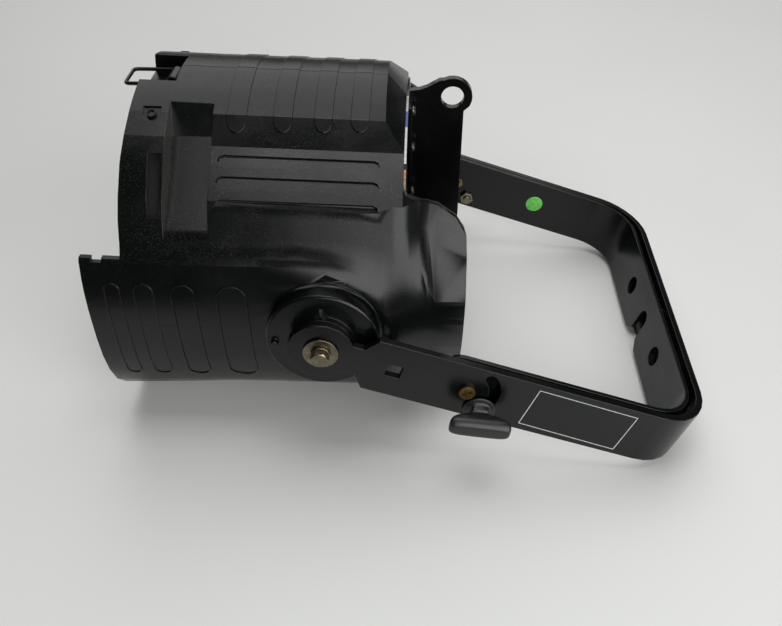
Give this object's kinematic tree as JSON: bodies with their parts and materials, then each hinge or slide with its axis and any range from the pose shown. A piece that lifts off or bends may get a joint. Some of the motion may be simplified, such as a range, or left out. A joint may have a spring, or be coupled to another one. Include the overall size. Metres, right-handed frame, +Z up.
{
  "type": "led wash light",
  "caption": "Stage LED wash light: two-shell black housing hung in a steel yoke with a folding inner stand yoke, frame slots and clip at the front, hanging eye at the back.",
  "frame": {"origin": "centre of the bounding box's bottom, on the surface that the foot and the yoke's end rest on", "axes": "+X from the lens to the back along the optical axis, +Y across to the right side, +Z up"},
  "size_m": [0.4008, 0.3066, 0.225],
  "materials": {
    "housing_casting": "die casting with a satin black powder coat",
    "black_paint": "satin black powder coat on steel",
    "black_plastic": "satin moulded plastic",
    "zinc_steel": "zinc plated",
    "yellow_zinc_steel": "yellow zinc plated",
    "bare_aluminium": "extruded",
    "clear_lens": "clear polished",
    "smoked_window": "polished",
    "circuit_board": "solder mask",
    "rubber": "matt"
  },
  "bodies": {
    "housing": {"left_shell": "housing_casting", "right_shell": "housing_casting", "bottom_foot": "rubber", "housing_screw_left": "zinc_steel", "housing_screw_right": "zinc_steel", "accessory_guide": "housing_casting", "clip_mount": "black_plastic", "lens_bezel": "housing_casting", "front_lens": "clear_lens", "lens_gasket": "rubber", "optic_array": "clear_lens", "led_board": "circuit_board", "heat_sink": "bare_aluminium", "fan_frame": "black_plastic", "chassis": "zinc_steel", "driver_tray": "zinc_steel", "driver_board": "circuit_board", "rear_panel": "black_paint", "display_window": "smoked_window", "control_board": "circuit_board", "power_inlet": "black_plastic", "power_outlet": "black_plastic", "data_in_socket": "black_plastic", "data_out_socket": "black_plastic", "rear_bracket": "black_paint", "bracket_screw_1": "zinc_steel", "bracket_screw_2": "zinc_steel", "bracket_screw_3": "zinc_steel", "tilt_boss_left": "black_paint", "tilt_boss_right": "black_paint", "pivot_washer_left": "zinc_steel", "pivot_washer_right": "zinc_steel", "pivot_spring_washer_left": "zinc_steel", "pivot_spring_washer_right": "zinc_steel", "pivot_bolt_left": "zinc_steel", "pivot_bolt_right": "zinc_steel", "pivot_nut_left": "zinc_steel", "pivot_nut_right": "zinc_steel"},
    "yoke": {"yoke": "black_paint", "yoke_bumper": "rubber", "stand_pivot_screw_left": "yellow_zinc_steel", "stand_pivot_screw_right": "yellow_zinc_steel", "stand_pivot_nut_left": "zinc_steel", "stand_pivot_nut_right": "zinc_steel", "stand_spacer_left": "black_plastic", "stand_spacer_right": "black_plastic"},
    "stand": {"stand_yoke": "black_paint", "knob_nut_left": "zinc_steel", "knob_nut_right": "zinc_steel"},
    "knob_left": {"knob_left": "black_plastic"},
    "knob_right": {"knob_right": "black_plastic"},
    "clip": {"clip_wire": "zinc_steel"},
    "fan": {"fan_rotor": "black_plastic"},
    "button_menu": {"button_menu": "black_plastic"},
    "button_up": {"button_up": "black_plastic"},
    "button_down": {"button_down": "black_plastic"},
    "button_enter": {"button_enter": "black_plastic"}
  },
  "joints": [
    {"name": "yoke_tilt", "type": "hinge", "parent": "housing", "child": "yoke", "pos_m": [-0.05241, 0, 0.1007], "axis": [0, -1, 0], "range_deg": [-75, 200]},
    {"name": "stand_fold", "type": "hinge", "parent": "yoke", "child": "stand", "pos_m": [0.03832, 0, 0.07087], "axis": [0, -1, 0], "range_deg": [0, 90]},
    {"name": "knob_left_turn", "type": "hinge", "parent": "stand", "child": "knob_left", "pos_m": [0.04669, -0.1423, 0.05551], "axis": [0, -1, 0], "range_deg": [0, 360]},
    {"name": "knob_right_turn", "type": "hinge", "parent": "stand", "child": "knob_right", "pos_m": [0.04669, 0.1423, 0.05551], "axis": [0, 1, 0], "range_deg": [0, 360]},
    {"name": "clip_lift", "type": "hinge", "parent": "housing", "child": "clip", "pos_m": [-0.1538, 0, 0.217], "axis": [0, 1, 0], "range_deg": [0, 95]},
    {"name": "fan_spin", "type": "hinge", "parent": "housing", "child": "fan", "pos_m": [-0.098, 0, 0.1165], "axis": [1, 0, 0], "continuous": true},
    {"name": "button_menu_press", "type": "slide", "parent": "housing", "child": "button_menu", "axis": [-1, 0, 0], "range_m": [0, 0.001], "stiffness_N_per_m": 500},
    {"name": "button_up_press", "type": "slide", "parent": "housing", "child": "button_up", "axis": [-1, 0, 0], "range_m": [0, 0.001], "stiffness_N_per_m": 500},
    {"name": "button_down_press", "type": "slide", "parent": "housing", "child": "button_down", "axis": [-1, 0, 0], "range_m": [0, 0.001], "stiffness_N_per_m": 500},
    {"name": "button_enter_press", "type": "slide", "parent": "housing", "child": "button_enter", "axis": [-1, 0, 0], "range_m": [0, 0.001], "stiffness_N_per_m": 500}
  ]
}
